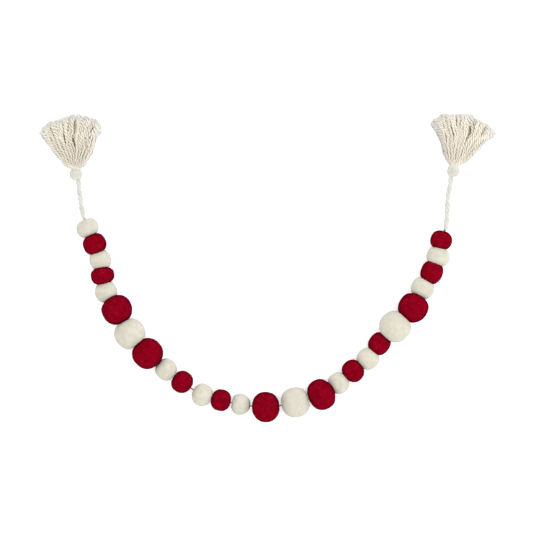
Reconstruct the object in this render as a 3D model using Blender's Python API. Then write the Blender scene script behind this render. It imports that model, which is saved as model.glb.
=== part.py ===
"""Garland of red and cream felt balls on a dark thread, with a twisted cotton cord and a cotton tassel
at each end. It lies flat on a surface, its string laid in a U and its tassels fanned out.

X runs along the garland's width, Y towards its tassels and Z up. The origin is on the surface, under the
middle of the garland's box. Tables and named sizes are in millimetres, the scene is in metres.
"""
import math
import random
from bisect import bisect
from collections import namedtuple

import bmesh
import bpy
from mathutils import Matrix, Vector

MM = 0.001
CLEARANCE = 0.3
WELD_DISTANCE = 0.003
SNAP_DISTANCE = 0.0001
UP = Vector((0, 0, 1))

# Felt balls, from the left end of the string to the right. Their middles lie at x and y. Across is the
# diameter square to the string, and along the one on it, before the neighbours press the ball flat.
Ball = namedtuple("Ball", "felt x y across along")
BALLS = (
    Ball("cream", -241.5, 52.0, 30.5, 25.0),
    Ball("red", -232.0, 30.2, 31.5, 30.0),
    Ball("cream", -224.4, 8.9, 29.5, 28.0),
    Ball("red", -221.3, -12.2, 32.0, 29.0),
    Ball("cream", -216.5, -34.2, 30.5, 29.0),
    Ball("red", -201.6, -58.1, 41.0, 39.5),
    Ball("cream", -184.1, -90.5, 42.0, 39.5),
    Ball("red", -160.2, -117.2, 41.7, 40.0),
    Ball("cream", -135.4, -139.1, 29.5, 29.0),
    Ball("red", -113.9, -155.9, 30.5, 28.0),
    Ball("cream", -86.7, -173.2, 31.0, 27.5),
    Ball("red", -61.6, -180.4, 29.6, 27.5),
    Ball("cream", -34.7, -186.2, 29.0, 25.5),
    Ball("red", -0.9, -189.4, 40.8, 37.0),
    Ball("cream", 38.9, -183.2, 41.0, 38.5),
    Ball("red", 73.9, -172.4, 42.3, 36.5),
    Ball("cream", 97.6, -157.5, 29.5, 28.0),
    Ball("red", 116.9, -141.0, 31.0, 29.0),
    Ball("cream", 136.9, -124.5, 30.0, 29.0),
    Ball("red", 152.5, -104.1, 29.2, 31.5),
    Ball("cream", 173.3, -81.0, 43.0, 40.5),
    Ball("red", 197.9, -55.1, 39.8, 41.0),
    Ball("cream", 210.7, -29.4, 31.5, 29.0),
    Ball("red", 223.2, -7.7, 30.1, 33.0),
    Ball("cream", 231.8, 13.5, 32.0, 26.5),
    Ball("red", 236.0, 35.3, 29.6, 26.9),
)
# Where two balls press on each other, the red one gains RED_PRESS of length from the cream one, or what
# FIRM_PRESSES gives by the numbers of the two.
RED_PRESS = 0.9
FIRM_PRESSES = {
    (2, 3): 1.9, (6, 5): 1.5, (6, 7): 1.8, (8, 7): 2.3, (16, 15): 1.5, (20, 19): 1.5, (20, 21): 2.5,
    (22, 21): 2.6, (24, 23): 3.0, (24, 25): 2.5, (26, 25): 2.1,
}
LARGE_BALL = 35.0
SMALL_FACETS = (12, 8)
LARGE_FACETS = (16, 10)
BALL_HEIGHT = 0.97
FLAT_SPOT_DEPTH = 0.6

# A fullness of 2 gives an ellipsoid, and a higher one stands out more between its axes.
BALL_FULLNESS = 2.2

THREAD_DIAMETER = 1.7
THREAD_STEPS = 2
TUBE_RESOLUTION = 2

# Two plies of yarn twisted round each other. A ply's middle lies PLY_OFFSET from the cord's. Crown and
# waist are the heights of their outline over the plies and between them, as shares of the radius.
PLY_RADIUS = 1.6
PLY_OFFSET = 1.2
PLY_CROWN = 0.98
PLY_CROWN_PLACE = 0.45
PLY_WAIST = 0.82
HALF_TWIST = 21.0
CORD_STEP = 2.8
CORD_TIP_LENGTH = 6.0
CORD_TIP_SIZE = 0.55

# A tassel's cord, from the tassel's head to the tip of the thread: it sinks to the surface and rises to
# the bore of the end ball.
LEFT_CORD = (
    (-254.6, 117.9, 6.6),
    (-254.3, 114.0, 5.5),
    (-254.1, 108.5, 3.6),
    (-253.4, 101.5, 3.0),
    (-252.2, 94.0, 3.0),
    (-251.2, 86.0, 3.0),
    (-250.2, 79.0, 3.8),
    (-248.9, 73.0, 6.8),
    (-247.6, 68.5, 11.0),
    (-246.2, 65.0, 13.2),
)
RIGHT_CORD = (
    (250.0, 121.1, 6.6),
    (249.8, 117.2, 5.5),
    (249.3, 111.5, 3.6),
    (248.0, 104.0, 3.0),
    (246.5, 97.0, 3.0),
    (245.6, 89.5, 3.0),
    (245.5, 81.5, 3.0),
    (245.3, 73.5, 3.0),
    (244.7, 65.5, 3.6),
    (243.6, 59.5, 6.4),
    (242.6, 54.5, 10.8),
    (241.3, 50.3, 12.9),
)

# The skirt of a tassel, seen from above: how far its left and right edges stand from the neck's middle,
# at each distance out from the neck. Lengths are those of its left, middle and right strands. Its parting
# is the place where its upper strands lie apart.
Section = namedtuple("Section", "out left right")
Tassel = namedtuple("Tassel", "side neck_x neck_y head_x head_y parting lengths skirt")
TASSELS = (
    Tassel("left", -257.2, 133.2, -257.6, 124.6, 0.14, (71.0, 72.5, 67.0), (
        Section(-4.0, -4.0, 4.0),
        Section(0.0, -6.5, 6.0),
        Section(3.0, -13.5, 9.8),
        Section(8.0, -20.0, 14.2),
        Section(16.0, -26.8, 19.0),
        Section(26.0, -35.0, 24.8),
        Section(43.0, -46.5, 28.5),
        Section(51.0, -52.5, 34.0),
        Section(72.0, -66.5, 47.0),
    )),
    Tassel("right", 253.4, 136.2, 253.0, 128.8, 0.07, (69.5, 74.5, 69.0), (
        Section(-4.0, -4.0, 4.0),
        Section(0.0, -6.2, 6.5),
        Section(3.0, -8.3, 13.8),
        Section(8.0, -11.5, 21.5),
        Section(18.0, -15.0, 31.5),
        Section(34.0, -19.0, 46.0),
        Section(45.0, -24.0, 60.0),
        Section(55.0, -30.5, 68.5),
        Section(72.0, -40.0, 83.0),
    )),
)
HEAD_RADII = (8.9, 8.9, 7.8)
HEAD_MIDDLE = 7.6
HEAD_FACETS = (16, 10)
NECK_RADIUS = 6.3
NECK_LENGTH = 8.0
NECK_SHIFT = -1.0
NECK_SIDES = 14
CORE_OUT = 4.5
CORE_REACH = 8.0
CORE_RADIUS = 6.6
CORE_WIDTH = 0.8

# Strands of a tassel, in layers from the surface up. Levels give the height and size of a strand at each
# part of its length: the height of the lowest layer and the step to the one above it.
LAYERS = (13, 12, 11, 9)
LAYER_INSET = 0.08
STRAND_WIDTH = 2.8
STRAND_HEIGHT = 2.1
LAYER_DROOP = 0.08
EDGE_SPREAD = 0.2
PARTING_SHIFT = 0.035
PARTING_WIDTH = 0.35
LENGTH_SPREAD = 2.2
PLACE_SPREAD = 0.06
Level = namedtuple("Level", "part lowest pitch size")
LEVELS = (
    Level(-0.05, 4.4, 2.1, 0.42),
    Level(0.05, 2.9, 3.5, 0.45),
    Level(0.12, 1.5, 3.8, 0.58),
    Level(0.24, 0.86, 3.9, 0.8),
    Level(0.42, 1.09, 3.5, 1.03),
    Level(0.7, 1.22, 3.2, 1.16),
    Level(1.0, 1.34, 3.1, 1.27),
)
RANDOM_SEED = 26
ROUTE_STEPS = 12
SHARP_ANGLE = 40

FELT_RED = (0.250, 0.002, 0.012)
FELT_CREAM = (0.770, 0.730, 0.610)
COTTON_CREAM = (0.790, 0.730, 0.600)
THREAD_DARK = (0.070, 0.030, 0.022)
FELT_ROUGHNESS = 0.95
COTTON_ROUGHNESS = 0.9
THREAD_ROUGHNESS = 0.7


def clear_scene():
    for obj in list(bpy.data.objects):
        bpy.data.objects.remove(obj)


def new_collection(name):
    collection = bpy.data.collections.new(name)
    bpy.context.scene.collection.children.link(collection)
    return collection


def new_material(name, color, roughness):
    """A Principled material of one colour."""
    material = bpy.data.materials.new(name)
    material.use_nodes = True
    shader = material.node_tree.nodes["Principled BSDF"]
    shader.inputs["Base Color"].default_value = (*color, 1)
    shader.inputs["Roughness"].default_value = roughness
    shader.inputs["Metallic"].default_value = 0
    return material


def add_object(name, data, collection, material=None):
    obj = bpy.data.objects.new(name, data)
    collection.objects.link(obj)
    if material:
        data.materials.append(material)
    return obj


def add_mesh(name, mesh, collection, material=None):
    """An object from a bmesh, which this frees. Its sides are shaded smooth and its edges sharp."""
    data = bpy.data.meshes.new(name)
    mesh.to_mesh(data)
    mesh.free()
    data.shade_smooth()
    data.set_sharp_from_angle(angle=math.radians(SHARP_ANGLE))
    return add_object(name, data, collection, material)


def as_helper(obj):
    obj.hide_render = True
    obj.display_type = "WIRE"
    return obj


def add_boolean(obj, operation, other, crossing=False):
    modifier = obj.modifiers.new(operation.title(), "BOOLEAN")
    modifier.operation = operation
    modifier.solver = "EXACT"
    modifier.use_self = crossing
    modifier.object = other
    return modifier


def smooth_route(points, steps):
    """Points on a smooth curve through the given ones, with this many steps between each two of them."""
    ends = [points[0] * 2 - points[1], *points, points[-1] * 2 - points[-2]]
    route = []
    for before, start, end, after in zip(ends, ends[1:], ends[2:], ends[3:]):
        for step in range(steps):
            t = step / steps
            route.append(
                0.5 * (
                    2 * start
                    + (end - before) * t
                    + (2 * before - 5 * start + 4 * end - after) * t**2
                    + (3 * start - before - 3 * end + after) * t**3
                )
            )
    return [*route, points[-1]]


def even_route(points, step):
    """Points about one step apart along a dense route."""
    lengths = [0.0]
    for start, end in zip(points, points[1:]):
        lengths.append(lengths[-1] + (end - start).length)
    count = max(2, round(lengths[-1] / step))
    route = []
    span = 0
    for index in range(count + 1):
        goal = lengths[-1] * index / count
        while span < len(points) - 2 and lengths[span + 1] < goal:
            span += 1
        share = (goal - lengths[span]) / (lengths[span + 1] - lengths[span])
        route.append(points[span].lerp(points[span + 1], share))
    return route


def add_spline(curve, points, sizes=None, tilts=None):
    spline = curve.splines.new("POLY")
    spline.points.add(len(points) - 1)
    for index, point in enumerate(points):
        spline.points[index].co = (*(point * MM), 1)
        spline.points[index].radius = sizes[index] if sizes else 1
        spline.points[index].tilt = tilts[index] if tilts else 0
    return spline


def new_curve(name, twist="MINIMUM"):
    curve = bpy.data.curves.new(name, "CURVE")
    curve.dimensions = "3D"
    curve.twist_mode = twist
    curve.use_fill_caps = True
    return curve


def tube(name, points, diameter, collection, material=None):
    curve = new_curve(name)
    curve.bevel_depth = diameter / 2 * MM
    curve.bevel_resolution = TUBE_RESOLUTION
    add_spline(curve, points)
    return add_object(name, curve, collection, material)


def outline_guide(name, corners, collection):
    """A closed flat outline that a curve takes as its section."""
    curve = bpy.data.curves.new(name, "CURVE")
    curve.dimensions = "2D"
    spline = curve.splines.new("POLY")
    spline.points.add(len(corners) - 1)
    for point, (x, y) in zip(spline.points, reversed(corners)):
        point.co = (x * MM, y * MM, 0, 1)
    spline.use_cyclic_u = True
    return as_helper(add_object(name, curve, collection))


def mesh_from_curve(obj):
    """Turns a curve object into a mesh object with its caps welded on."""
    bpy.context.view_layer.update()
    graph = bpy.context.evaluated_depsgraph_get()
    data = bpy.data.meshes.new_from_object(obj.evaluated_get(graph))
    mesh = bmesh.new()
    mesh.from_mesh(data)
    bmesh.ops.remove_doubles(mesh, verts=mesh.verts, dist=WELD_DISTANCE * MM)
    bmesh.ops.recalc_face_normals(mesh, faces=mesh.faces)
    mesh.to_mesh(data)
    mesh.free()
    collection = obj.users_collection[0]
    copy = bpy.data.objects.new(obj.name + "_mesh", data)
    collection.objects.link(copy)
    copy.matrix_world = obj.matrix_world
    copy.hide_render = obj.hide_render
    copy.display_type = obj.display_type
    bpy.data.objects.remove(obj)
    return copy


def cut_flat(mesh, point, outward):
    """Cuts a closed mesh with a plane, keeps what lies behind it and closes the cut with a flat face."""
    geometry = [*mesh.verts, *mesh.edges, *mesh.faces]
    cut = bmesh.ops.bisect_plane(
        mesh, geom=geometry, dist=SNAP_DISTANCE * MM, plane_co=point, plane_no=outward,
        clear_outer=True,
    )
    rim = [item for item in cut["geom_cut"] if isinstance(item, bmesh.types.BMEdge)]
    if rim:
        bmesh.ops.contextual_create(mesh, geom=rim)


def ellipsoid(middle, radii, facets, axes=None, fullness=2):
    """A ball of three radii. Its poles lie on the third axis."""
    mesh = bmesh.new()
    bmesh.ops.create_uvsphere(mesh, u_segments=facets[0], v_segments=facets[1], radius=MM)
    for vertex in mesh.verts:
        vertex.co *= sum(abs(place / MM) ** fullness for place in vertex.co) ** (-1 / fullness)
    turn = Matrix(axes).transposed().to_4x4() if axes else Matrix.Identity(4)
    place = Matrix.Translation(middle * MM) @ turn @ Matrix.Diagonal((*radii, 1))
    bmesh.ops.transform(mesh, matrix=place, verts=mesh.verts)
    return mesh


def ball_middle(ball):
    """The middle of a ball, low enough to leave it a small flat spot on the surface."""
    return Vector((ball.x, ball.y, ball.across / 2 * BALL_HEIGHT - FLAT_SPOT_DEPTH))


MIDDLES = [ball_middle(ball) for ball in BALLS]
LEFT_ROUTE = [Vector(point) for point in LEFT_CORD]
RIGHT_ROUTE = [Vector(point) for point in RIGHT_CORD]


def thread_route():
    """The whole thread, from the tip of one cord through every ball to the tip of the other."""
    route = smooth_route([LEFT_ROUTE[-1], *MIDDLES, RIGHT_ROUTE[-1]], THREAD_STEPS)
    return shortened(shortened(route)[::-1])[::-1]


def shortened(route):
    """The route without half a clearance at its start, where it meets another piece face to face."""
    start, second = route[0], route[1]
    return [start + (second - start).normalized() * CLEARANCE / 2, *route[1:]]


def cord_route(points):
    """A cord's route from the tassel's head to the thread, in even steps."""
    dense = smooth_route(points, ROUTE_STEPS)
    return even_route(shortened(dense[::-1])[::-1], CORD_STEP)


def press_gain(index, other):
    """The length that a ball gains where it presses on a neighbour. A cream ball loses it."""
    if BALLS[index].felt == "red":
        return FIRM_PRESSES.get((index + 1, other + 1), RED_PRESS)
    return -FIRM_PRESSES.get((other + 1, index + 1), RED_PRESS)


def felt_ball(index, bore, collection, material):
    """A ball pressed flat by its neighbours and by the surface, bored for the thread."""
    ball = BALLS[index]
    middle = MIDDLES[index]
    before = MIDDLES[max(index - 1, 0)]
    after = MIDDLES[min(index + 1, len(BALLS) - 1)]
    along = (after - before).normalized()
    level = along.cross(UP).normalized()
    upward = level.cross(along)
    radii = (ball.across / 2, ball.across / 2 * BALL_HEIGHT, ball.along / 2)
    facets = LARGE_FACETS if ball.across > LARGE_BALL else SMALL_FACETS
    mesh = ellipsoid(Vector(), radii, facets, (level, upward, along), BALL_FULLNESS)
    for other in (index - 1, index + 1):
        if 0 <= other < len(BALLS):
            reach = MIDDLES[other] - middle
            share = ball.along / (ball.along + BALLS[other].along)
            depth = reach.length * share + press_gain(index, other) - CLEARANCE / 2
            cut_flat(mesh, reach.normalized() * depth * MM, reach)
    cut_flat(mesh, Vector((0, 0, -middle.z * MM)), -UP)
    bmesh.ops.recalc_face_normals(mesh, faces=mesh.faces)
    obj = add_mesh(f"ball_{index + 1:02d}_{ball.felt}", mesh, collection, material)
    obj.location = middle * MM
    add_boolean(obj, "DIFFERENCE", bore)
    return obj


def cord_section(guides):
    """The outline of two plies side by side."""
    outer = PLY_OFFSET + PLY_RADIUS
    shoulder = PLY_OFFSET + PLY_RADIUS * PLY_CROWN_PLACE
    waist = PLY_RADIUS * PLY_WAIST
    crown = PLY_RADIUS * PLY_CROWN
    quarter = [(outer, 0), (shoulder, crown), (0, waist), (-shoulder, crown)]
    return outline_guide("cord_section", quarter + [(-x, -y) for x, y in quarter], guides)


def tassel_cord(side, route, section, collection, material):
    """A short cord whose two plies turn round each other, thin where it is tied to the thread."""
    curve = new_curve(f"tassel_cord_{side}")
    curve.bevel_mode = "OBJECT"
    curve.bevel_object = section
    length = 0.0
    lengths = [0.0]
    for start, end in zip(route, route[1:]):
        length += (end - start).length
        lengths.append(length)
    sizes = []
    for place in lengths:
        to_tip = min((length - place) / CORD_TIP_LENGTH, 1)
        sizes.append(CORD_TIP_SIZE + (1 - CORD_TIP_SIZE) * to_tip)
    tilts = [math.pi * place / HALF_TWIST for place in lengths]
    add_spline(curve, route, sizes, tilts)
    return add_object(f"tassel_cord_{side}", curve, collection, material)


def column(rows, name, out):
    """A column of a skirt's table at a distance out, on a smooth curve through its rows."""
    keys = [row.out for row in rows]
    values = [getattr(row, name) for row in rows]
    last = len(rows) - 1
    place = min(max(bisect(keys, out) - 1, 0), last - 1)
    width = keys[place + 1] - keys[place]
    slopes = []
    for index in (place, place + 1):
        low, high = max(index - 1, 0), min(index + 1, last)
        slopes.append((values[high] - values[low]) / (keys[high] - keys[low]) * width)
    t = (out - keys[place]) / width
    rise = values[place + 1] - values[place]
    bend = slopes[0] + slopes[1] - 2 * rise
    return values[place] + slopes[0] * t + (rise - slopes[0] - bend) * t**2 + bend * t**3


def strand_place(tassel, side, out):
    """The middle of a strand seen from above, where side runs from -1 at the left edge to 1 at the right."""
    left = column(tassel.skirt, "left", out) + STRAND_WIDTH / 2
    right = column(tassel.skirt, "right", out) - STRAND_WIDTH / 2
    across = (left + right) / 2 + side * (right - left) / 2
    return Vector((tassel.neck_x + across, tassel.neck_y + out, 0))


def strand_reach(tassel, side, length):
    """How far out from the neck a strand of this length ends."""
    out = 0.0
    place = Vector((tassel.neck_x, tassel.neck_y, 0))
    while length > 0:
        out += 1.0
        further = strand_place(tassel, side, out)
        length -= (further - place).length
        place = further
    return out


def add_strand(curve, tassel, layer, side, length):
    reach = strand_reach(tassel, side, length)
    points = []
    for level in LEVELS:
        point = strand_place(tassel, side, level.part * reach)
        crown = 1 - LAYER_DROOP * side**2
        point.z = level.lowest + layer * level.pitch * crown
        points.append(point)
    add_spline(curve, points, [level.size for level in LEVELS])


def strand_length(tassel, side):
    """A strand's length, between those of the left, middle and right ones."""
    left, middle, right = tassel.lengths
    return middle + side * (right - middle if side > 0 else middle - left)


def parted(side, parting, layer):
    """Moves a strand of the upper layers away from the skirt's parting."""
    shift = PARTING_SHIFT * layer * math.exp(-(((side - parting) / PARTING_WIDTH) ** 2))
    return side + math.copysign(shift, side - parting)


def tassel_strands(tassel, section, guides, draw):
    """All strands of a tassel in one mesh. Each layer spans less of the skirt than the one below it."""
    name = f"strands_{tassel.side}"
    curve = new_curve(name, twist="Z_UP")
    curve.bevel_mode = "OBJECT"
    curve.bevel_object = section
    for layer, count in enumerate(LAYERS):
        span = 1 - LAYER_INSET * layer
        for index in range(count):
            side = 2 * index / (count - 1) - 1
            side *= span * (1 + EDGE_SPREAD * abs(side)) / (1 + EDGE_SPREAD)
            side += draw.uniform(-1, 1) * PLACE_SPREAD / count
            length = strand_length(tassel, side) + draw.uniform(-1, 1) * LENGTH_SPREAD - layer
            add_strand(curve, tassel, layer, parted(side, tassel.parting, layer), length)
    return mesh_from_curve(as_helper(add_object(name, curve, guides)))


def skirt_core(tassel, guides):
    """The bundle that the strands' roots are pressed into, under the tie at the neck."""
    left = column(tassel.skirt, "left", CORE_OUT)
    right = column(tassel.skirt, "right", CORE_OUT)
    middle = Vector((tassel.neck_x + (left + right) / 2, tassel.neck_y + CORE_OUT, HEAD_MIDDLE))
    radii = ((right - left) / 2 * CORE_WIDTH, CORE_REACH, CORE_RADIUS)
    mesh = ellipsoid(middle, radii, HEAD_FACETS)
    return as_helper(add_mesh(f"core_{tassel.side}", mesh, guides))


def neck(tassel, guides):
    mesh = bmesh.new()
    bmesh.ops.create_cone(
        mesh, cap_ends=True, segments=NECK_SIDES, radius1=NECK_RADIUS * MM,
        radius2=NECK_RADIUS * MM, depth=NECK_LENGTH * MM,
    )
    x, y = (tassel.neck_x + tassel.head_x) / 2, tassel.neck_y + NECK_SHIFT
    middle = Vector((x, y, HEAD_MIDDLE)) * MM
    place = Matrix.Translation(middle) @ Matrix.Rotation(math.radians(90), 4, "X")
    bmesh.ops.transform(mesh, matrix=place, verts=mesh.verts)
    return as_helper(add_mesh(f"neck_{tassel.side}", mesh, guides))


def tassel_solid(tassel, cord, section, collection, guides, material, draw):
    """A tassel: its head, flat where the cord leaves it, its neck and its strands, fused at their roots."""
    middle = Vector((tassel.head_x, tassel.head_y, HEAD_MIDDLE))
    mesh = ellipsoid(middle, HEAD_RADII, HEAD_FACETS)
    leaving = (cord[1] - cord[0]).normalized()
    cut_flat(mesh, (cord[0] - leaving * CLEARANCE) * MM, leaving)
    cut_flat(mesh, Vector(), -UP)
    bmesh.ops.recalc_face_normals(mesh, faces=mesh.faces)
    obj = add_mesh(f"tassel_{tassel.side}", mesh, collection, material)
    add_boolean(obj, "UNION", neck(tassel, guides))
    add_boolean(obj, "UNION", skirt_core(tassel, guides))
    add_boolean(obj, "UNION", tassel_strands(tassel, section, guides, draw), crossing=True)
    return obj


def main():
    clear_scene()
    draw = random.Random(RANDOM_SEED)
    garland = new_collection("felt_tassel_garland")
    cutters = new_collection("cutters")
    felts = {
        "red": new_material("red_felt", FELT_RED, FELT_ROUGHNESS),
        "cream": new_material("cream_felt", FELT_CREAM, FELT_ROUGHNESS),
    }
    cotton = new_material("tassel_cotton", COTTON_CREAM, COTTON_ROUGHNESS)
    cord_cotton = new_material("cord_cotton", COTTON_CREAM, COTTON_ROUGHNESS)
    dark = new_material("dark_thread", THREAD_DARK, THREAD_ROUGHNESS)

    tube("thread", thread_route(), THREAD_DIAMETER, garland, dark)
    bore_tube = tube("thread_bore", thread_route(), THREAD_DIAMETER + 2 * CLEARANCE, cutters)
    bore = mesh_from_curve(as_helper(bore_tube))
    for index, ball in enumerate(BALLS):
        felt_ball(index, bore, garland, felts[ball.felt])

    two_plies = cord_section(cutters)
    half_width, half_height = STRAND_WIDTH / 2, STRAND_HEIGHT / 2
    corners = [(half_width, half_height), (-half_width, half_height)]
    strand = outline_guide("strand_section", corners + [(-x, -y) for x, y in corners], cutters)
    for tassel, points in zip(TASSELS, (LEFT_ROUTE, RIGHT_ROUTE)):
        route = cord_route(points)
        tassel_cord(tassel.side, route, two_plies, garland, cord_cotton)
        tassel_solid(tassel, route, strand, garland, cutters, cotton, draw)


main()
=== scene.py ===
"""Looks of the felt ball garland: felted wool balls on a dark thread, and at each end a twisted cotton cord
and a cotton tassel. The garland lies on a pale floor and is seen straight from above.

Sizes and places are in millimetres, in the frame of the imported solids, and become metres where a piece is
made. X runs along the garland's width, Y towards its tassels and Z up.
"""
import math
from collections import namedtuple

import bmesh
import bpy
import numpy as np
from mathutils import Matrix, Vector, noise


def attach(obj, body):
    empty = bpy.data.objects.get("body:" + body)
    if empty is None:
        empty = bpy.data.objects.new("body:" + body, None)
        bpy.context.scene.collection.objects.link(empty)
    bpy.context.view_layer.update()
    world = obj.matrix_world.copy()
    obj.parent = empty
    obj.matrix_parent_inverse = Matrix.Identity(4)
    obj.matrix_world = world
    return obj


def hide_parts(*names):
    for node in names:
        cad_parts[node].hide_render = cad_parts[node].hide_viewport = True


MM = 0.001
UP = np.array((0.0, 0.0, 1.0))
SEED = 26
TINY = 1e-9
FAR = 1e3

# A smooth route is worked out in this many steps between each two of its points.
DENSE_STEPS = 16

# The picture is this many pixels wide and high, and MM_PER_PIXEL holds at SCALE_HEIGHT, in the balls.
PICTURE = 533
MM_PER_PIXEL = 1.35
SENSOR = 36.0
CAMERA_HEIGHT = 3000.0
SCALE_HEIGHT = 15.0

# Felt balls, from the left end of the string to the right. Across is the diameter square to the string, and
# along the one on it, before the neighbours press the ball flat.
Ball = namedtuple("Ball", "felt x y across along")
BALLS = (
    Ball("cream", -241.5, 52.0, 30.5, 25.0),
    Ball("red", -232.0, 30.2, 31.5, 30.0),
    Ball("cream", -224.4, 8.9, 29.5, 28.0),
    Ball("red", -221.3, -12.2, 32.0, 29.0),
    Ball("cream", -216.5, -34.2, 30.5, 29.0),
    Ball("red", -201.6, -58.1, 41.0, 39.5),
    Ball("cream", -184.1, -90.5, 42.0, 39.5),
    Ball("red", -160.2, -117.2, 41.7, 40.0),
    Ball("cream", -135.4, -139.1, 29.5, 29.0),
    Ball("red", -113.9, -155.9, 30.5, 28.0),
    Ball("cream", -86.7, -173.2, 31.0, 27.5),
    Ball("red", -61.6, -180.4, 29.6, 27.5),
    Ball("cream", -34.7, -186.2, 29.0, 25.5),
    Ball("red", -0.9, -189.4, 40.8, 37.0),
    Ball("cream", 38.9, -183.2, 41.0, 38.5),
    Ball("red", 73.9, -172.4, 42.3, 36.5),
    Ball("cream", 97.6, -157.5, 29.5, 28.0),
    Ball("red", 116.9, -141.0, 31.0, 29.0),
    Ball("cream", 136.9, -124.5, 30.0, 29.0),
    Ball("red", 152.5, -104.1, 29.2, 31.5),
    Ball("cream", 173.3, -81.0, 43.0, 40.5),
    Ball("red", 197.9, -55.1, 39.8, 41.0),
    Ball("cream", 210.7, -29.4, 31.5, 29.0),
    Ball("red", 223.2, -7.7, 30.1, 33.0),
    Ball("cream", 231.8, 13.5, 32.0, 26.5),
    Ball("red", 236.0, 35.3, 29.6, 26.9),
)
LARGE_BALL = 35.0
SUBDIVISIONS = {"small": 5, "large": 6}
BALL_HEIGHT = 0.97
BALL_FULLNESS = 2.2
FLAT_SPOT_DEPTH = 0.6
BALL_GAP = 0.1

# Where two balls press on each other, the red one gains RED_PRESS of length from the cream one, or what
# FIRM_PRESSES gives by the numbers of the two. Its face stays round, with DENT_ROUNDNESS times its own
# radius, and dents the cream one.
RED_PRESS = 0.9
FIRM_PRESSES = {
    (2, 3): 1.9, (6, 5): 1.5, (6, 7): 1.8, (8, 7): 2.3, (16, 15): 1.5, (20, 19): 1.5, (20, 21): 2.5,
    (22, 21): 2.6, (24, 23): 3.0, (24, 25): 2.5, (26, 25): 2.1,
}
DENT_ROUNDNESS = 1.25
DENT_RISE = 0.9
EDGE_ROUNDING = 0.8
BORE_DENT = 0.35
BORE_DENT_WIDTH = 0.14

# The felt's relief. Each ball's lies NOISE_STEP further on in the same noise.
NOISE_STEP = (7.3, 3.1, 0.0)
LUMP_HEIGHT = 0.5
LUMP_SIZE = 12.0
CREASE_DEPTH = 0.2
CREASE_SIZE = 5.0
CREASE_SHARPNESS = 10
GRAIN_HEIGHT = 0.12
GRAIN_SIZE = 1.7

# Ball 13 narrows to a point on its right, where the thread leaves it.
POINTED_BALL = 13
POINT_TAPER = 0.13
POINT_REACH = 1.5
POINT_WIDTH = 0.3

# Fine fibres on the balls. None grows where a direction from the ball's middle lies along the string by more
# than FIBRE_ALONG, as the neighbours press there, or lower than FIBRE_LOWEST.
FIBRES = {"small": 260, "large": 460}
FIBRE_ALONG = 0.72
FIBRE_LOWEST = -0.7
FIBRE_LENGTH = (1.4, 3.6)
FIBRE_LIFT = (0.05, 0.4)
FIBRE_RISE = (0.7, 0.8)
FIBRE_BEND = 0.3
FIBRE_ROOT = 0.1
FIBRE_RADIUS = 0.035
FIBRE_TAPER = (1, 1, 0.6)
FIBRE_SIDES = 3

THREAD_PLIES = 3
THREAD_PLY_RADIUS = 0.45
THREAD_PLY_OFFSET = 0.4
THREAD_PITCH = 4.6
THREAD_STEP = 0.65
THREAD_SIDES = 5
THREAD_IN_CORD = 3.0

# The routes of the tassels' cords, from the tassel's head to the tip, which holds the thread. The strands
# reach past both ends of their route, into the head and to the first ball.
CORDS = {
    "left": (
        (-254.6, 117.9, 6.6),
        (-254.3, 114.0, 5.5),
        (-254.1, 108.5, 3.6),
        (-253.4, 101.5, 3.0),
        (-252.2, 94.0, 3.0),
        (-251.2, 86.0, 3.0),
        (-250.2, 79.0, 3.8),
        (-248.9, 73.0, 6.8),
        (-247.6, 68.5, 11.0),
        (-246.2, 65.0, 13.2),
    ),
    "right": (
        (250.0, 121.1, 6.6),
        (249.8, 117.2, 5.5),
        (249.3, 111.5, 3.6),
        (248.0, 104.0, 3.0),
        (246.5, 97.0, 3.0),
        (245.6, 89.5, 3.0),
        (245.5, 81.5, 3.0),
        (245.3, 73.5, 3.0),
        (244.7, 65.5, 3.6),
        (243.6, 59.5, 6.4),
        (242.6, 54.5, 10.8),
        (241.3, 50.3, 12.9),
    ),
}
CORD_STRANDS = 2
CORD_STRAND_OFFSET = 0.95
CORD_STRAND_SIZE = 1.55
CORD_PITCH = 42.0
CORD_PLIES = 3
CORD_PLY_PITCH = 26.0
CORD_STEP = 0.7
CORD_SIDES = 8
CORD_TIP_LENGTH = 5.0
CORD_TIP_SIZE = 0.65
CORD_TIP_REACH = 1.6
CORD_HEAD_REACH = 3.0

# Two-ply cotton yarn, of which the cords, heads and skirts are made.
PLIES = 2
PLY_RADIUS = 1.0
PLY_OFFSET = 0.95
PLY_PITCH = 8.0
PLY_SIDES = 6

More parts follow.
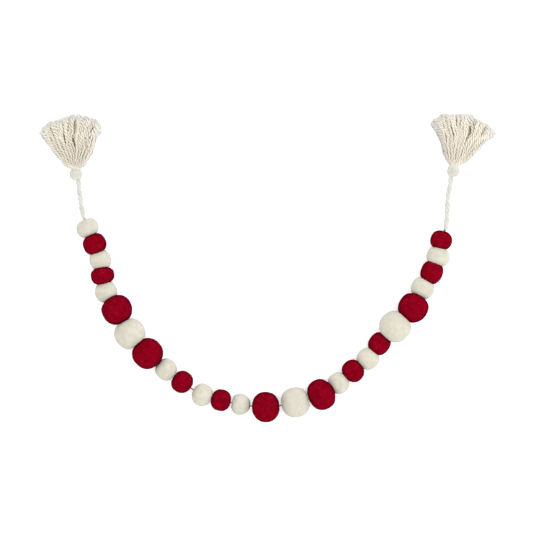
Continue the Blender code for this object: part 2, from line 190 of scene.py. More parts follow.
# The skirt of a tassel, seen from above: how far its left and right edges stand from the neck's middle, at
# each distance out from the neck. Lengths are those of its yarns, at even steps from the left edge to the
# right one. At a parting, over a stretch of the distance out, as many layers of yarns lie apart as its depth
# says, counted from the top one.
Section = namedtuple("Section", "out left right")
Parting = namedtuple("Parting", "side start end width depth")
Tassel = namedtuple("Tassel", "side neck_x neck_y head_x head_y lengths partings skirt")
TASSELS = (
    Tassel(
        "left", -257.2, 133.2, -257.6, 124.6, (71.5, 72.5, 73.5, 73.5, 66.0),
        (
            Parting(0.12, 18.0, 56.0, 2.3, 2.4),
            Parting(0.13, 42.0, 68.0, 2.2, 1.7),
            Parting(-0.22, 28.0, 56.0, 2.1, 1.6),
        ),
        (
            Section(-5.0, -3.5, 3.5),
            Section(-1.0, -3.4, 4.2),
            Section(1.5, -10.5, 7.0),
            Section(3.5, -16.3, 10.5),
            Section(8.0, -20.2, 14.3),
            Section(16.0, -26.8, 18.9),
            Section(26.0, -35.2, 25.0),
            Section(42.0, -46.2, 27.6),
            Section(50.0, -52.0, 35.5),
            Section(72.0, -66.0, 48.5),
        ),
    ),
    Tassel(
        "right", 253.4, 136.2, 253.0, 128.8, (69.0, 71.5, 73.5, 75.0, 73.3, 70.0, 71.8),
        (
            Parting(0.07, 28.0, 66.0, 2.6, 2.4),
            Parting(0.1, 44.0, 66.0, 1.2, 1.7),
            Parting(0.46, 36.0, 60.0, 2.2, 1.6),
        ),
        (
            Section(-5.0, -3.5, 3.5),
            Section(-1.0, -3.6, 4.5),
            Section(1.5, -4.0, 8.3),
            Section(3.5, -5.6, 13.2),
            Section(8.0, -10.3, 21.3),
            Section(18.0, -14.9, 32.2),
            Section(34.0, -18.4, 46.6),
            Section(39.0, -20.4, 54.6),
            Section(45.0, -23.4, 62.0),
            Section(55.0, -30.5, 69.5),
            Section(72.0, -39.0, 83.0),
        ),
    ),
)
SKIRT_LENGTH = 72.0
SKIRT_STEP = 0.5
PARTING_SPREAD = 0.2

# The yarns of a skirt's layers, from the lowest layer up. Each is worked out at even steps out from the
# neck, whose first, last and number OUT_PLACES gives, and is then drawn with YARN_POINTS up to its own
# length. Near the neck the outer yarns take up less room at the skirt's edges.
YARNS = (19, 20, 20, 21)
YARN_WIDTH = 3.6
OUT_PLACES = (-7.0, 84.0, 183)
YARN_POINTS = 68
YARN_LOWEST = 1.6
YARN_SHIFT = 0.22
NARROW_LENGTH = 12.0
NARROW_SHARE = 0.35
LAYER_INSET = 0.03

# Lengths differ by chance and in scallops. Each layer is LAYER_STEP shorter than the one below it, and the
# yarns past SIDE_YARN are up to SIDE_STEP shorter.
LENGTH_SPREAD = 2.3
SCALLOP_DEPTH = 1.2
SCALLOPS = 3.3
LAYER_STEP = 0.4
SIDE_STEP = 7.0
SIDE_YARN = 0.88

# How far a yarn swings sideways at each wavelength, and up and down at RISE_WAVELENGTH.
WANDER = {8.5: 0.35, 22.0: 0.5, 60.0: 0.8}
RISE_SWING = 0.5
RISE_WAVELENGTH = 41.0
RISE_START = 40.0

# Near the neck every other yarn of the top layer lies lower than the two beside it.
SINK_DEPTH = 3.0
SINK_SPREAD = 0.3
SINK_LENGTH = 50.0

# Towards a yarn's tip its plies come apart, lose the painted shade in the groove between them and end thin.
PITCH_SPREAD = (0.85, 1.35)
LOOSE_LENGTH = 22.0
LOOSE_WIDTH = 0.4
LOOSE_GROOVE_SHADE = 0.8
ENDING_LENGTH = 5.0
ENDING_SIZE = 0.35

# At each part of the skirt's length: the height of its lowest yarns, the height from layer to layer and the
# size of the plies. A yarn is WHOLE_YARN long with its root, which is ROOT_SHARE of it.
WHOLE_YARN = 79.0
ROOT_SHARE = 0.09
Level = namedtuple("Level", "part lowest pitch size")
LEVELS = (
    Level(-0.08, 3.4, 2.0, 0.56),
    Level(0.0, 3.4, 2.6, 0.68),
    Level(0.14, 2.4, 3.1, 0.77),
    Level(0.26, 1.9, 3.0, 0.83),
    Level(0.5, 1.8, 2.6, 0.98),
    Level(1.0, 1.8, 2.1, 1.3),
)

# The cotton is painted tan in the depth of a skirt, as painted shade, but not at its sides or near its tips.
# It is painted brown in the groove between two plies, also painted shade, and grey along the skirt's sides.
CREVICE_START = 1.0
CREVICE_DEPTH = 2.8
CREVICE_END = (60.0, 69.0)
CREVICE_SIDE = (0.7, 0.93)
PAINTED_CREVICE_SHADE = (1.0, 0.71, 0.41)
PAINTED_GROOVE_SHADE = (0.6, 0.48, 0.35)
SIDE_START = (0.76, 0.97)
SIDE_TINT = (0.84, 0.87, 0.94)
YARN_TINTS = (0.82, 1.0)
# The head's core and waist are painted darker, as painted shade beneath the yarns.
PAINTED_CORE_SHADE = 0.9

# Loose fibres at each yarn's tip. They start FRAY_ROOT of their length before it, run on in the direction
# that the yarn has at its point FRAY_POINT, and bend outwards.
FRAY_FIBRES = 26
FRAY_POINT = -3
FRAY_LENGTH = 8.0
FRAY_LENGTHS = (0.7, 1.2)
FRAY_SPREAD = 0.3
FRAY_SPREADS = (0.1, 1.0)
FRAY_ROOT = 0.85
FRAY_ROOTS = (0.6, 1.5)
FRAY_WIDTH = 1.5
FRAY_BEND = 1.6
FRAY_RADIUS = 0.2
FRAY_STEPS = (0, 0.35, 0.7, 1)
FRAY_TAPER = (1, 0.9, 0.7, 0.35)

# Fine fibres along each yarn, but not at its first and last few points, as many as STRAY_ENDS says.
# STRAY_OFF is how far a fibre stands off the yarn halfway and at its end.
STRAY_FIBRES = 14
STRAY_ENDS = (6, 8)
STRAY_AHEAD = 3
STRAY_LENGTH = (2.0, 4.5)
STRAY_RISE = 0.6
STRAY_OFF = (1.8, 2.5)
STRAY_HALFWAY = 0.4
STRAY_LOWEST = 0.2
STRAY_RADIUS = 0.06
STRAY_TAPER = (1, 1, 0.5)

# A tassel's head: half its width, length and height, and the yarns folded round it, whose middle lines lie
# HEAD_INSET inside it. They run round it from the first of HEAD_POLES to the second, in degrees from the
# cord's end, and on to two places at the neck where they are gathered.
HEAD_RADII = (9.1, 8.4, 7.8)
HEAD_MIDDLE = 7.6
HEAD_INSET = 1.3
HEAD_YARNS = 23
HEAD_SPREAD = 0.15
HEAD_PLY_SIZE = 0.72
HEAD_POLES = (24, 140)
HEAD_POINTS = 26
HEAD_STEP = 0.9
GATHERED = ((0.0, -0.5, 0.0), (0.0, 2.0, 0.0))

# The head is filled by a round core, and the neck by a waist.
CORE_INSET = 0.5
CORE_POINTS = 13
CORE_TIP = 0.05
CORE_SIDES = 16
WAIST = ((0.0, -4.0, 0.0), (0.0, 3.0, 0.0))
WAIST_POINTS = 8
NECK_RADIUS = 4.4

TIE_START = (0.0, -2.2, 0.0)
TIE_TURNS = 2
TIE_PITCH = 1.05
TIE_OFFSET = 1.0
TIE_RADIUS = 0.5
TIE_POINTS = 60
TIE_SIDES = 6

# The colours of a felt's dark, middle and light wool, the colour by which they are multiplied down the sides
# of a ball as painted shade, and the sheen.
Felt = namedtuple("Felt", "dark middle light side sheen sheen_tint")
FELTS = {
    "red": Felt(
        (0.128, 0.0004, 0.0045), (0.173, 0.0007, 0.0077), (0.235, 0.0011, 0.013),
        (0.4, 0.7, 0.75), 0.02, (0.9, 0.02, 0.06),
    ),
    "cream": Felt(
        (0.438, 0.418, 0.347), (0.483, 0.461, 0.388), (0.533, 0.512, 0.445),
        (0.935, 0.95, 1.02), 0.05, (1, 0.97, 0.9),
    ),
}
FELT_ROUGHNESS = 0.95

# The colours of spun or loose fibres, how short their streaks are and how strong their relief is.
Spun = namedtuple("Spun", "dark light streaks bump")
SPUN = {
    "cotton_yarn": Spun((0.61, 0.565, 0.47), (0.745, 0.71, 0.625), 0.35, 0.4),
    "cord_cotton": Spun((0.455, 0.445, 0.41), (0.54, 0.537, 0.508), 0.35, 0.3),
    "head_cotton": Spun((0.495, 0.48, 0.42), (0.6, 0.59, 0.535), 0.35, 0.3),
    "frayed_cotton": Spun((0.74, 0.73, 0.69), (0.82, 0.815, 0.785), 0.35, 0.1),
    "loose_red_wool": Spun((0.42, 0.006, 0.022), (0.6, 0.012, 0.04), 0.35, 0.1),
    "loose_cream_wool": Spun((0.56, 0.54, 0.47), (0.68, 0.66, 0.6), 0.35, 0.1),
    "dark_thread": Spun((0.06, 0.022, 0.016), (0.12, 0.05, 0.035), 0.3, 0.3),
}
SPUN_ROUGHNESS = 0.9
SPUN_SHEEN = 0.15
STREAKS_AROUND = 1.6

FLOOR_SIZE = 16000.0
FLOOR_DARK = (0.96, 0.96, 0.96)
FLOOR_LIGHT = (0.98, 0.98, 0.98)
FLOOR_ROUGHNESS = 0.9
FLOOR_GLOW = 0.22
WHITE = (1, 1, 1)
WORLD_LIGHT = 1.4
KEY_PLACE = (1900, 250, 2700)
KEY_SIZE = 2000
KEY_POWER = 47


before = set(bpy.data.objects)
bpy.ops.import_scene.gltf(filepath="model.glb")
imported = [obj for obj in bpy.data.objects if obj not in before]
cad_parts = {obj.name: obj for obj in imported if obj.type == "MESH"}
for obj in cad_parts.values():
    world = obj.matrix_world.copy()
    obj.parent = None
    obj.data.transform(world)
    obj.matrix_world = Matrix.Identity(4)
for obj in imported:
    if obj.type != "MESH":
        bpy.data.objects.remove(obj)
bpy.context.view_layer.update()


def unit(vectors):
    return vectors / np.maximum(np.linalg.norm(vectors, axis=-1, keepdims=True), TINY)


def places(routes):
    """How far along its route each point lies."""
    steps = np.linalg.norm(np.diff(routes, axis=-2), axis=-1)
    return np.concatenate([np.zeros_like(steps[..., :1]), np.cumsum(steps, axis=-1)], axis=-1)


def directions(routes, up):
    """Unit vectors along a route, to its side and to its top."""
    along = unit(np.gradient(routes, axis=-2))
    side = unit(np.cross(along, up))
    return along, side, np.cross(side, along)


def resampled(route, goals):
    """The points of a route that lie at the given distances along it."""
    lengths = places(route)
    return np.stack([np.interp(goals, lengths, axis) for axis in route.T], axis=-1)


def smooth_route(points, step):
    """Points about a step apart on a smooth curve through the given ones."""
    points = np.array(points, float)
    ends = np.vstack([2 * points[0] - points[1], points, 2 * points[-1] - points[-2]])
    t = np.linspace(0, 1, DENSE_STEPS, endpoint=False)[:, None]
    spans = [
        0.5 * (
            2 * start
            + (end - before) * t
            + (2 * before - 5 * start + 4 * end - after) * t**2
            + (3 * start - before - 3 * end + after) * t**3
        )
        for before, start, end, after in zip(ends, ends[1:], ends[2:], ends[3:])
    ]
    dense = np.vstack([*spans, points[-1]])
    length = places(dense)[-1]
    return resampled(dense, np.linspace(0, length, round(length / step) + 1))


def wound(routes, index, count, offset, pitch, up=UP, start=0.0):
    """The middle line of one of several plies that turn round a route."""
    _, side, top = directions(routes, up)
    turn = 2 * math.pi * (places(routes) / pitch + index / count) + start
    reach = np.broadcast_to(offset, turn.shape)
    return routes + (reach * np.cos(turn))[..., None] * side + (reach * np.sin(turn))[..., None] * top


def blended(color, share):
    """White where the share is 0, and the given colour where it is 1."""
    return 1 - np.asarray(share)[..., None] * (1 - np.array(color))


class Strings:
    """Tubes gathered into one mesh. A point keeps its lay, which is its place round and along its tube, and
    its tint, by which the colour of its material is multiplied; the tint holds a yarn's own tone and painted
    shade."""

    def __init__(self):
        self.points = []
        self.faces = []
        self.lay = []
        self.tint = []
        self.count = 0

    def add(self, routes, radii, sides, tint=1.0, up=UP, core=None, groove_shade=1.0):
        """Adds a tube along each route. Routes has a row of points for each tube. A ply is painted browner,
        as painted shade, where it lies in the groove beside the next ply, near its yarn's core. The last
        argument says how much."""
        tubes, rings = routes.shape[:2]
        _, side, top = directions(routes, up)
        radii = np.broadcast_to(radii, (tubes, rings))
        turn = 2 * math.pi * np.arange(sides) / sides
        ring = np.cos(turn)[:, None] * side[:, :, None] + np.sin(turn)[:, None] * top[:, :, None]
        skin = routes[:, :, None] + radii[:, :, None, None] * ring
        points = np.concatenate([skin.reshape(tubes, -1, 3), routes[:, [0, -1]]], axis=1)
        place = places(routes)
        lay = np.empty((tubes, rings, sides, 3))
        lay[..., 0] = np.cos(turn)
        lay[..., 1] = np.sin(turn)
        lay[..., 2] = place[:, :, None]
        ends = np.zeros((tubes, 2, 3))
        ends[..., 2] = place[:, [0, -1]]
        lay = np.concatenate([lay.reshape(tubes, -1, 3), ends], axis=1)
        tints = np.broadcast_to(np.reshape(tint, (-1, 1, 1, 1)), (tubes, rings, sides, 3))
        if core is not None:
            reach = np.linalg.norm(skin - core[:, :, None], axis=3)
            near = 1 - reach / reach.max(axis=2, keepdims=True)
            tints = tints * blended(PAINTED_GROOVE_SHADE, near * groove_shade[:, :, None])
        tints = np.concatenate([tints.reshape(tubes, -1, 3), tints[:, [0, -1], 0]], axis=1)
        faces = tube_faces(rings, sides)
        starts = self.count + np.arange(tubes) * (rings * sides + 2)
        self.points.append(points.reshape(-1, 3))
        self.faces.append((faces[None] + starts[:, None, None]).reshape(-1, 3))
        self.lay.append(lay.reshape(-1, 3))
        self.tint.append(tints.reshape(-1, 3))
        self.count += tubes * (rings * sides + 2)

    def make(self, name, material, slot, replaced=()):
        return add_piece(
            name, np.concatenate(self.points), np.concatenate(self.faces), material, slot, replaced,
            lay=np.concatenate(self.lay), tint=np.concatenate(self.tint),
        )


def tube_faces(rings, sides):
    """The triangles of a tube whose points go ring by ring, with the middles of its two ends last."""
    ring, corner = np.meshgrid(np.arange(rings - 1), np.arange(sides), indexing="ij")
    here = (ring * sides + corner).ravel()
    beside = (ring * sides + (corner + 1) % sides).ravel()
    skin = [(here, here + sides, beside + sides), (here, beside + sides, beside)]
    corner = np.arange(sides)
    after = (corner + 1) % sides
    first, last = np.full(sides, rings * sides), np.full(sides, rings * sides + 1)
    lift = (rings - 1) * sides
    caps = [(first, corner, after), (last, after + lift, corner + lift)]
    return np.concatenate([np.stack(corners, axis=1) for corners in skin + caps])


def add_piece(name, points, faces, material, slot, replaced=(), **kept):
    """A smooth piece of the garland. Kept are vectors that stay on its points."""
    mesh = bpy.data.meshes.new(name)
    mesh.from_pydata(points * MM, [], faces)
    mesh.shade_smooth()
    mesh.materials.append(material)
    for key, values in kept.items():
        attribute = mesh.attributes.new(key, "FLOAT_VECTOR", "POINT")
        attribute.data.foreach_set("vector", values.astype(np.float32).ravel())
    piece = bpy.data.objects.new(name, mesh)
    bpy.context.scene.collection.objects.link(piece)
    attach(piece, "root")
    if replaced:
        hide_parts(*replaced)
    return piece


def add_camera():
    data = bpy.data.cameras.new("camera")
    data.sensor_width = SENSOR
    data.lens = SENSOR * (CAMERA_HEIGHT - SCALE_HEIGHT) / (PICTURE * MM_PER_PIXEL)
    camera = bpy.data.objects.new("camera", data)
    camera.location = (0, 0, CAMERA_HEIGHT * MM)
    bpy.context.scene.collection.objects.link(camera)
    bpy.context.scene.camera = camera


def add_key_light():
    """A soft square light that shines at the origin, from above and from the right."""
    data = bpy.data.lights.new("key", "AREA")
    data.size = KEY_SIZE * MM
    data.energy = KEY_POWER
    light = bpy.data.objects.new("key", data)
    light.location = Vector(KEY_PLACE) * MM
    light.rotation_mode = "QUATERNION"
    light.rotation_quaternion = (-light.location).to_track_quat("-Z", "Y")
    bpy.context.scene.collection.objects.link(light)


def add_node(tree, kind, inputs=None, **settings):
    """A shader node. An input is a value or another node's socket."""
    node = tree.nodes.new(kind)
    for key, value in settings.items():
        setattr(node, key, value)
    for key, value in (inputs or {}).items():
        if isinstance(value, bpy.types.NodeSocket):
            tree.links.new(value, node.inputs[key])
        else:
            node.inputs[key].default_value = value
    return node


def new_material(name, roughness, sheen=0.0, sheen_tint=WHITE):
    """A matt material, its node tree and its shader."""
    material = bpy.data.materials.new(name)
    material.use_nodes = True
    tree = material.node_tree
    shader = tree.nodes["Principled BSDF"]
    shader.inputs["Roughness"].default_value = roughness
    shader.inputs["Specular IOR Level"].default_value = 0
    shader.inputs["Sheen Weight"].default_value = sheen
    shader.inputs["Sheen Tint"].default_value = (*sheen_tint, 1)
    return material, tree, shader


def color_ramp(tree, factor, stops):
    """Colours blended by a factor. Each stop is the factor at which a colour is reached, and the colour."""
    ramp = add_node(tree, "ShaderNodeValToRGB", {"Fac": factor})
    elements = ramp.color_ramp.elements
    while len(elements) < len(stops):
        elements.new(1)
    for element, (position, color) in zip(elements, stops):
        element.position = position
        element.color = (*color, 1)
    return ramp.outputs["Color"]


def felt_material(felt):
    """Wet-felted wool: a faint mottle of dyed wool, and matted fibres that lie in swirls. It darkens down
    the sides of a ball by the slope of its surface, which is painted shade."""
    look = FELTS[felt]
    material, tree, shader = new_material(f"{felt}_felt", FELT_ROUGHNESS, look.sheen, look.sheen_tint)
    coordinates = add_node(tree, "ShaderNodeTexCoord")
    place = coordinates.outputs["Object"]
    mottle = add_node(tree, "ShaderNodeTexNoise", {"Vector": place, "Scale": 165, "Detail": 4})
    matted = add_node(
        tree, "ShaderNodeTexNoise",
        {"Vector": place, "Scale": 620, "Detail": 5, "Roughness": 0.6, "Distortion": 1.8},
        noise_type="RIDGED_MULTIFRACTAL",
    )
    grain = add_node(
        tree, "ShaderNodeTexNoise",
        {"Vector": place, "Scale": 1900, "Detail": 3, "Roughness": 0.7, "Distortion": 0.6},
    )
    both = add_node(
        tree, "ShaderNodeMath",
        {0: matted.outputs["Fac"], 1: 0.26, 2: mottle.outputs["Fac"]}, operation="MULTIPLY_ADD",
    )
    wool = color_ramp(
        tree, both.outputs[0], ((0.38, look.dark), (0.62, look.middle), (0.95, look.light))
    )
    # Painted shade: the wool is multiplied by the felt's side colour where its surface faces away from
    # straight up.
    slope = add_node(tree, "ShaderNodeSeparateXYZ", {"Vector": coordinates.outputs["Normal"]})
    painted_shade_share = add_node(
        tree, "ShaderNodeMapRange",
        {"Value": slope.outputs["Z"], "From Min": 0.85, "From Max": 0, "To Min": 0, "To Max": 1},
        interpolation_type="SMOOTHERSTEP",
    )
    kept = color_ramp(tree, painted_shade_share.outputs["Result"], ((0, WHITE), (1, look.side)))
    shaded = add_node(tree, "ShaderNodeVectorMath", {0: wool, 1: kept}, operation="MULTIPLY")
    tree.links.new(shaded.outputs["Vector"], shader.inputs["Base Color"])
    fine = add_node(
        tree, "ShaderNodeBump",
        {"Height": grain.outputs["Fac"], "Strength": 0.5, "Distance": 0.25 * MM},
    )
    coarse = add_node(
        tree, "ShaderNodeBump",
        {
            "Height": matted.outputs["Fac"], "Strength": 0.35, "Distance": 0.3 * MM,
            "Normal": fine.outputs["Normal"],
        },
    )
    tree.links.new(coarse.outputs["Normal"], shader.inputs["Normal"])
    return material


def string_material(name):
    """Spun yarn, with fibres that run along each ply and the tint that its points keep."""
    look = SPUN[name]
    material, tree, shader = new_material(name, SPUN_ROUGHNESS, SPUN_SHEEN)
    lay = add_node(tree, "ShaderNodeAttribute", attribute_name="lay")
    tint = add_node(tree, "ShaderNodeAttribute", attribute_name="tint")
    place = add_node(
        tree, "ShaderNodeMapping",
        {"Vector": lay.outputs["Vector"], "Scale": (STREAKS_AROUND, STREAKS_AROUND, look.streaks)},
    )
    fibres = add_node(
        tree, "ShaderNodeTexNoise",
        {"Vector": place.outputs["Vector"], "Scale": 2.2, "Detail": 4, "Roughness": 0.65},
    )
    spun = color_ramp(tree, fibres.outputs["Fac"], ((0.3, look.dark), (0.62, look.light)))
    tinted = add_node(
        tree, "ShaderNodeVectorMath", {0: spun, 1: tint.outputs["Vector"]}, operation="MULTIPLY"
    )
    tree.links.new(tinted.outputs["Vector"], shader.inputs["Base Color"])
    relief = add_node(
        tree, "ShaderNodeBump",
        {"Height": fibres.outputs["Fac"], "Strength": look.bump, "Distance": 0.3 * MM},
    )
    tree.links.new(relief.outputs["Normal"], shader.inputs["Normal"])
    return material


def floor_material():
    """A pale studio floor with a barely seen grain. It is faintly lit from below, as a light table is, so
    that shadows on it stay pale."""
    material, tree, shader = new_material("pale_floor", FLOOR_ROUGHNESS)
    shader.inputs["Emission Color"].default_value = (*WHITE, 1)
    shader.inputs["Emission Strength"].default_value = FLOOR_GLOW
    place = add_node(tree, "ShaderNodeTexCoord").outputs["Object"]
    grain = add_node(tree, "ShaderNodeTexNoise", {"Vector": place, "Scale": 40, "Detail": 2})
    color = color_ramp(tree, grain.outputs["Fac"], ((0, FLOOR_DARK), (1, FLOOR_LIGHT)))
    tree.links.new(color, shader.inputs["Base Color"])
    return material


def add_stage():
    """The floor, the even light round it and the key light."""
    mesh = bpy.data.meshes.new("floor")
    half = FLOOR_SIZE / 2 * MM
    mesh.from_pydata(
        [(-half, -half, 0), (half, -half, 0), (half, half, 0), (-half, half, 0)], [], [(0, 1, 2, 3)]
    )
    mesh.materials.append(floor_material())
    floor = bpy.data.objects.new("floor", mesh)
    bpy.context.scene.collection.objects.link(floor)
    world = bpy.data.worlds.new("studio")
    world.use_nodes = True
    background = world.node_tree.nodes["Background"]
    background.inputs["Color"].default_value = (*WHITE, 1)
    background.inputs["Strength"].default_value = WORLD_LIGHT
    bpy.context.scene.world = world
    add_key_light()
    bpy.context.scene.view_settings.view_transform = "Standard"


def soft_min(first, second, rounding):
    """The smaller of two reaches, with a rounded edge where they meet."""
    share = np.clip(0.5 + 0.5 * (second - first) / rounding, 0, 1)
    return second * (1 - share) + first * share - rounding * share * (1 - share)


def noise_at(points, size, spot):
    """Noise from -1 to 1 at each point, whose lumps are about as large as the size."""
    return np.array([noise.noise(Vector(point) / size + spot) for point in points])


def ball_size(ball):
    return "large" if ball.across > LARGE_BALL else "small"


def ball_middle(ball):
    return np.array((ball.x, ball.y, ball.across / 2 * BALL_HEIGHT - FLAT_SPOT_DEPTH))


MIDDLES = [ball_middle(ball) for ball in BALLS]


def ball_axes(index):
    """A ball's level direction across the string, its upward one and the one along the string."""
    along = unit(MIDDLES[min(index + 1, len(BALLS) - 1)] - MIDDLES[max(index - 1, 0)])
    level = unit(np.cross(along, UP))
    return np.array((level, np.cross(level, along), along))


def press_limit(index, neighbour, facing):
    """How far a ball reaches in each direction before the face that it shares with a neighbour."""
    ball, other = BALLS[index], BALLS[neighbour]
    gap = MIDDLES[neighbour] - MIDDLES[index]
    distance = np.linalg.norm(gap)
    depth = distance * ball.along / (ball.along + other.along)
    ahead = facing @ (gap / distance)
    red, cream = (index, neighbour) if ball.felt == "red" else (neighbour, index)
    sign = 1 if red == index else -1
    round_face = DENT_ROUNDNESS * BALLS[red].across / 2
    press = FIRM_PRESSES.get((red + 1, cream + 1), RED_PRESS)
    middle = depth + sign * (press + DENT_RISE - round_face)
    radius = round_face - sign * BALL_GAP / 2
    inside = radius**2 - middle**2 * (1 - ahead**2)
    limit = middle * ahead + sign * np.sqrt(np.maximum(inside, 0))
    return np.where((inside > 0) & (limit > 0) & (ahead > 0), limit, FAR)


def nearness(facing, direction, width):
    """How near each direction is to the given one, from 0 to 1."""
    return np.exp(-2 * (1 - facing @ direction) / width**2)


def felt_skin(index, facing):
    """Points on a ball's skin in the given directions from its middle."""
    ball, axes = BALLS[index], ball_axes(index)
    radii = np.array((ball.across / 2, ball.across / 2 * BALL_HEIGHT, ball.along / 2))
    shares = facing @ axes.T
    pointed = index + 1 == POINTED_BALL
    if pointed:
        shares[:, :2] /= 1 - POINT_TAPER * shares[:, 2:]
    reach = 1 / np.linalg.norm(shares / radii, BALL_FULLNESS, axis=1)
    spot = Vector([index * step for step in NOISE_STEP])
    around = facing * reach[:, None]
    reach = reach + LUMP_HEIGHT * noise_at(around, LUMP_SIZE, spot)
    crease = 1 - np.abs(noise_at(around, CREASE_SIZE, spot * 2))
    reach -= CREASE_DEPTH * crease**CREASE_SHARPNESS
    reach += GRAIN_HEIGHT * noise_at(around, GRAIN_SIZE, spot)
    for step in (-1, 1):
        if index + step in (-1, len(BALLS)):
            tip = np.array(CORDS["left" if step < 0 else "right"][-1])
            reach -= BORE_DENT * nearness(facing, unit(tip - MIDDLES[index]), BORE_DENT_WIDTH)
            continue
        gap = MIDDLES[index + step] - MIDDLES[index]
        if pointed and step == 1:
            reach += POINT_REACH * nearness(facing, unit(gap), POINT_WIDTH)
        else:
            reach -= BORE_DENT * nearness(facing, unit(gap), BORE_DENT_WIDTH)
        reach = soft_min(reach, press_limit(index, index + step, facing), EDGE_ROUNDING)
    down = np.maximum(-facing[:, 2], TINY)
    reach = soft_min(reach, MIDDLES[index][2] / down, EDGE_ROUNDING)
    return MIDDLES[index] + facing * reach[:, None]


def felt_ball(index, materials):
    ball = BALLS[index]
    sphere = bmesh.new()
    bmesh.ops.create_icosphere(sphere, subdivisions=SUBDIVISIONS[ball_size(ball)], radius=1)
    facing = np.array([vertex.co for vertex in sphere.verts])
    faces = np.array([[vertex.index for vertex in face.verts] for face in sphere.faces])
    sphere.free()
    add_piece(
        f"felt_{index + 1:02d}_{ball.felt}", felt_skin(index, unit(facing)), faces,
        materials[ball.felt], f"{ball.felt}_felt", [f"ball_{index + 1:02d}_{ball.felt}"],
    )


def felt_fibres(felt, material, draw):
    """Fine fibres that stand a little off the skin of all balls of one colour."""
    strings = Strings()
    for index, ball in enumerate(BALLS):
        if ball.felt != felt:
            continue
        facing = unit(draw.normal(size=(FIBRES[ball_size(ball)], 3)))
        along = ball_axes(index)[2]
        free = (np.abs(facing @ along) < FIBRE_ALONG) & (facing[:, 2] > FIBRE_LOWEST)
        facing = facing[free]
        roots = felt_skin(index, facing)
        sideways = unit(np.cross(facing, draw.normal(size=facing.shape)))
        length = draw.uniform(*FIBRE_LENGTH, len(facing))[:, None]
        lift = draw.uniform(*FIBRE_LIFT, len(facing))[:, None]
        bend = np.cross(facing, sideways) * draw.uniform(-FIBRE_BEND, FIBRE_BEND, (len(facing), 1))
        points = [
            roots - facing * FIBRE_ROOT,
            roots + (sideways / 2 + facing * lift * FIBRE_RISE[0]) * length,
            roots + (sideways + bend + facing * lift * FIBRE_RISE[1]) * length,
        ]
        radii = FIBRE_RADIUS * np.array(FIBRE_TAPER)
        strings.add(np.stack(points, axis=1), radii, FIBRE_SIDES, up=facing[:, None])
    strings.make(f"fibres_{felt}", material, f"{felt}_felt")


def stringing_thread(material):
    """The thread through all the balls, whose ends are caught between the strands of the two cords."""
    ends = []
    for side in CORDS:
        cord = smooth_route(CORDS[side], CORD_STEP)
        length = places(cord)[-1]
        ends.append(resampled(cord, length - np.array((THREAD_IN_CORD, THREAD_IN_CORD / 2, 0))))
    route = smooth_route([*ends[0], *MIDDLES, *ends[1][::-1]], THREAD_STEP)
    strings = Strings()
    for ply in range(THREAD_PLIES):
        line = wound(route, ply, THREAD_PLIES, THREAD_PLY_OFFSET, THREAD_PITCH)
        strings.add(line[None], THREAD_PLY_RADIUS, THREAD_SIDES)
    strings.make("stringing_thread", material, "dark_thread", ["thread"])


def tassel_cord(side, material):
    """A cord of strands that turn round each other, thin at the tip. They reach past both ends of the
    cord's route."""
    route = smooth_route(CORDS[side], CORD_STEP)
    length = places(route)[-1]
    rooted = route[0] - unit(route[1] - route[0]) * CORD_HEAD_REACH
    reached = route[-1] + unit(route[-1] - route[-2]) * CORD_TIP_REACH
    middle = np.vstack([rooted, route, reached])
    to_tip = np.clip((CORD_HEAD_REACH + length - places(middle)) / CORD_TIP_LENGTH, 0, 1)
    size = CORD_TIP_SIZE + (1 - CORD_TIP_SIZE) * to_tip
    turned = -2 * math.pi * CORD_HEAD_REACH / CORD_PITCH
    strings = Strings()
    for strand in range(CORD_STRANDS):
        line = wound(middle, strand, CORD_STRANDS, CORD_STRAND_OFFSET * size, CORD_PITCH, start=turned)
        for ply in range(CORD_PLIES):
            offset = PLY_OFFSET * size * CORD_STRAND_SIZE
            radius = PLY_RADIUS * size * CORD_STRAND_SIZE
            yarn = wound(line, ply, CORD_PLIES, offset, CORD_PLY_PITCH, start=strand)
            yarn[:, 2] = np.maximum(yarn[:, 2], radius)
            strings.add(yarn[None], radius, CORD_SIDES)
    piece = strings.make(f"twisted_cord_{side}", material, "cord_cotton", [f"tassel_cord_{side}"])


def edge(tassel, name, out):
    """How far an edge of the skirt stands from the neck's middle, at each distance out."""
    rows = smooth_route([(getattr(row, name), row.out, 0) for row in tassel.skirt], SKIRT_STEP)
    return np.interp(out, rows[:, 1], rows[:, 0])


def level_at(name, part):
    """One of the values in LEVELS, at each part of the skirt's length."""
    points = [(level.part * SKIRT_LENGTH, getattr(level, name), 0) for level in LEVELS]
    rows = smooth_route(points, SKIRT_STEP)
    return np.interp(part * SKIRT_LENGTH, rows[:, 0], rows[:, 1])


def yarn_places(draw):
    """The layer of each yarn, where it lies from the skirt's left edge, -1, to its right one, 1, and how far
    it sinks near the neck."""
    layers, sides, sinks = [], [], []
    for layer, count in enumerate(YARNS):
        spread = 2 * (np.arange(count) + 0.5) / count - 1
        spread = spread * count / (count - 1)
        spread += draw.uniform(-YARN_SHIFT, YARN_SHIFT, count) / count
        sides.append(spread * (1 - LAYER_INSET * layer))
        layers.append(np.full(count, layer))
        top = layer == len(YARNS) - 1
        sinks.append(top * SINK_DEPTH * (np.arange(count) % 2 + draw.uniform(0, SINK_SPREAD, count)))
    return np.concatenate(layers), np.concatenate(sides), np.concatenate(sinks)[:, None]


